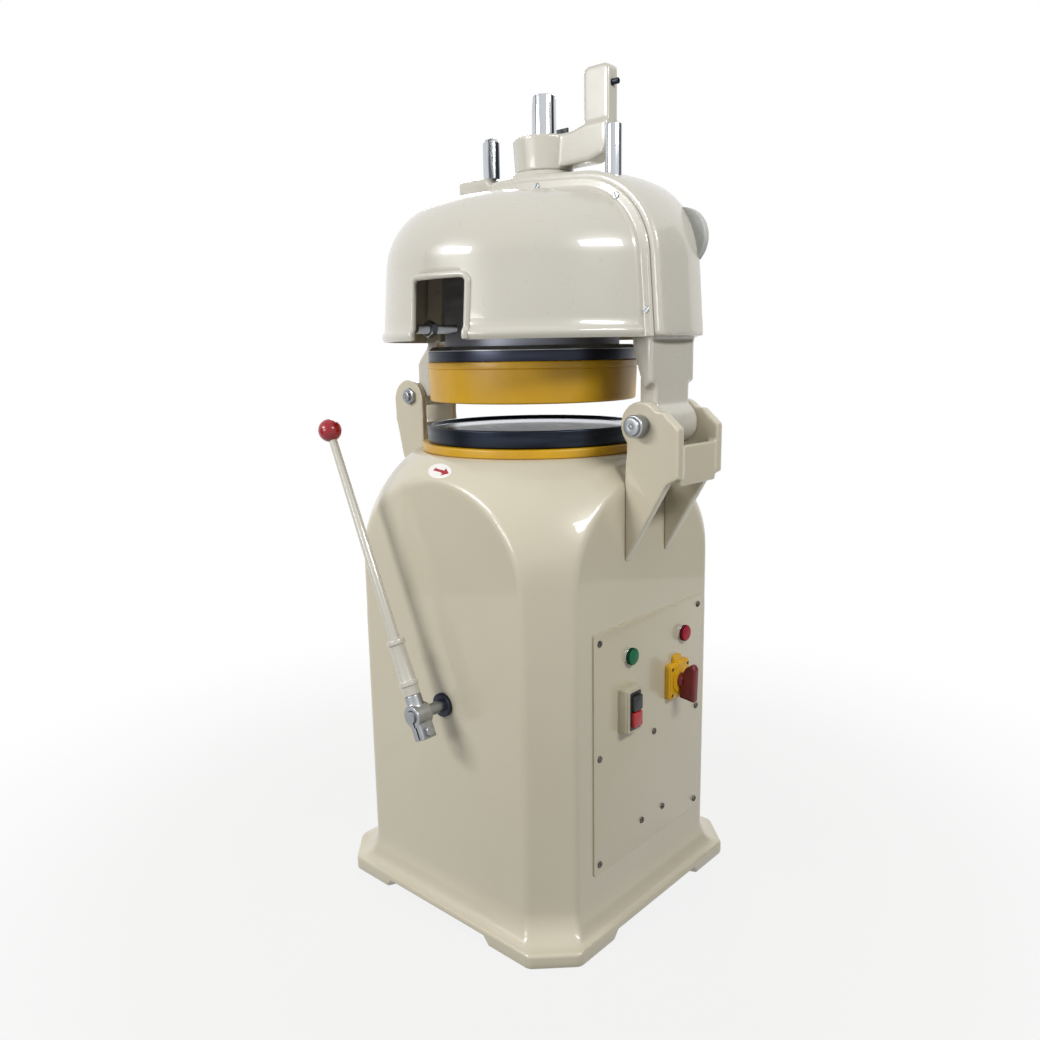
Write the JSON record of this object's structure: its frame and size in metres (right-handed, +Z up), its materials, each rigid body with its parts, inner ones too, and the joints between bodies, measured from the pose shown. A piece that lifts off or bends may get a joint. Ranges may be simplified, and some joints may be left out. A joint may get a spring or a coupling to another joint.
{
  "type": "divider rounder",
  "caption": "Floor-standing bakery machine: a tilting head with knives divides dough in a pan, and a lever-driven orbiting table rounds the pieces.",
  "frame": {"origin": "on the floor under the centre of the square plinth, on the axis of the table and the cutter ring", "axes": "+Z up; -Y towards the operator in front; +Y to the rear, with the tilt hinge and the electrical panel; +X to the side of the rounding lever"},
  "size_m": [0.65, 0.726, 1.5122],
  "materials": {
    "ivory_paint": "gloss",
    "mustard_paint": "satin",
    "dark_steel": "satin",
    "steel": "satin",
    "chrome": "polished",
    "bronze": "satin",
    "black_plastic": "gloss",
    "dark_red_plastic": "gloss",
    "signal_red_plastic": "gloss",
    "beige_plastic": "matte",
    "yellow_plastic": "satin",
    "green_lens": "gloss",
    "red_lens": "gloss",
    "belt_rubber": "matte",
    "buffer_rubber": "matte",
    "motor_paint": "satin"
  },
  "bodies": {
    "pedestal": {"pedestal": "ivory_paint", "feet": "ivory_paint", "hinge_bracket": "ivory_paint", "front_bracket": "ivory_paint", "hinge_pin": "steel", "front_pin": "steel", "pin_nuts": "steel", "service_panel": "ivory_paint", "panel_screws": "steel", "lamp_bezels": "chrome", "green_lens": "green_lens", "red_lens": "red_lens", "switch_box": "beige_plastic", "isolator_plate": "yellow_plastic", "lever_bush": "dark_steel", "drive_deck": "steel", "deck_bolts": "steel", "bearing_housing": "dark_steel", "shaft_bearings": "chrome", "motor_body": "motor_paint", "drive_belt": "belt_rubber"},
    "start_button": {"start_button": "black_plastic"},
    "stop_button": {"stop_button": "signal_red_plastic"},
    "isolator_knob": {"isolator_knob": "dark_red_plastic"},
    "motor_rotor": {"motor_pulley": "steel"},
    "crank": {"crank_shaft": "steel", "main_pulley": "dark_steel"},
    "collar": {"shift_collar": "steel", "push_rod": "chrome"},
    "eccentric": {"eccentric_block": "steel"},
    "table": {"table_ring": "mustard_paint", "table_hub": "dark_steel", "dough_pan": "chrome"},
    "lever": {"lever_shaft": "steel", "lever_hub": "steel", "clamp_bolt": "steel", "lever_socket": "ivory_paint", "lever_rod": "ivory_paint", "ball_knob": "dark_red_plastic"},
    "head": {"head_frame": "ivory_paint", "hinge_bushes": "bronze", "right_cover": "ivory_paint", "left_cover": "ivory_paint", "cover_screws": "steel", "ram_bush": "bronze", "front_post": "chrome", "guide_post": "chrome", "tilt_buffer": "buffer_rubber"},
    "press": {"press_ram": "chrome", "press_flange": "dark_steel", "drum_stud": "steel", "cutter_ring": "mustard_paint", "press_segments": "steel"},
    "knives": {"knife_grid": "chrome"},
    "swing_arm": {"swing_arm": "ivory_paint", "spindle_nut": "bronze", "wing_screw": "black_plastic", "arm_screws": "dark_steel"}
  },
  "joints": [
    {"name": "head_tilt", "type": "hinge", "parent": "pedestal", "child": "head", "pos_m": [0, 0.298, 0.915], "axis": [-1, 0, 0], "range_deg": [0, 65]},
    {"name": "arm_swing", "type": "hinge", "parent": "head", "child": "swing_arm", "pos_m": [0, 0.036, 1.354], "axis": [0, 0, 1], "range_deg": [0, 160]},
    {"name": "press_stroke", "type": "slide", "parent": "head", "child": "press", "axis": [0, 0, -1], "range_m": [0, 0.042]},
    {"name": "knife_stroke", "type": "slide", "parent": "press", "child": "knives", "axis": [0, 0, -1], "range_m": [0, 0.016]},
    {"name": "rounding_lever", "type": "hinge", "parent": "pedestal", "child": "lever", "pos_m": [0.329, 0.01, 0.412], "axis": [-1, 0, 0], "range_deg": [0, 40]},
    {"name": "crank_spin", "type": "hinge", "parent": "pedestal", "child": "crank", "pos_m": [0, 0, 0.6], "axis": [0, 0, 1], "continuous": true},
    {"name": "motor_spin", "type": "hinge", "parent": "pedestal", "child": "motor_rotor", "pos_m": [-0.175, -0.11, 0.4], "axis": [0, 0, 1], "continuous": true},
    {"name": "collar_lift", "type": "slide", "parent": "crank", "child": "collar", "axis": [0, 0, 1], "range_m": [0, 0.0178]},
    {"name": "eccentric_shift", "type": "slide", "parent": "crank", "child": "eccentric", "axis": [1, 0, 0], "range_m": [0, 0.012]},
    {"name": "table_counter", "type": "hinge", "parent": "eccentric", "child": "table", "pos_m": [0, 0, 0.83], "axis": [0, 0, 1], "continuous": true},
    {"name": "isolator_turn", "type": "hinge", "parent": "pedestal", "child": "isolator_knob", "pos_m": [-0.09158, 0.2833, 0.42082], "axis": [0, 1, 0], "range_deg": [0, 90]},
    {"name": "start_press", "type": "slide", "parent": "pedestal", "child": "start_button", "axis": [0, -1, 0], "range_m": [0, 0.003], "stiffness_N_per_m": 600},
    {"name": "stop_press", "type": "slide", "parent": "pedestal", "child": "stop_button", "axis": [0, -1, 0], "range_m": [0, 0.003], "stiffness_N_per_m": 600}
  ],
  "couplings": [
    {"joint": "press_stroke", "follows": "arm_swing", "m_per_rad": 0.015004},
    {"joint": "knife_stroke", "follows": "arm_swing", "m_per_rad": 0.005694},
    {"joint": "collar_lift", "follows": "rounding_lever", "m_per_rad": 0.025468},
    {"joint": "eccentric_shift", "follows": "rounding_lever", "m_per_rad": 0.017174},
    {"joint": "motor_spin", "follows": "crank_spin", "ratio": 3.5882},
    {"joint": "table_counter", "follows": "crank_spin", "ratio": -1}
  ]
}
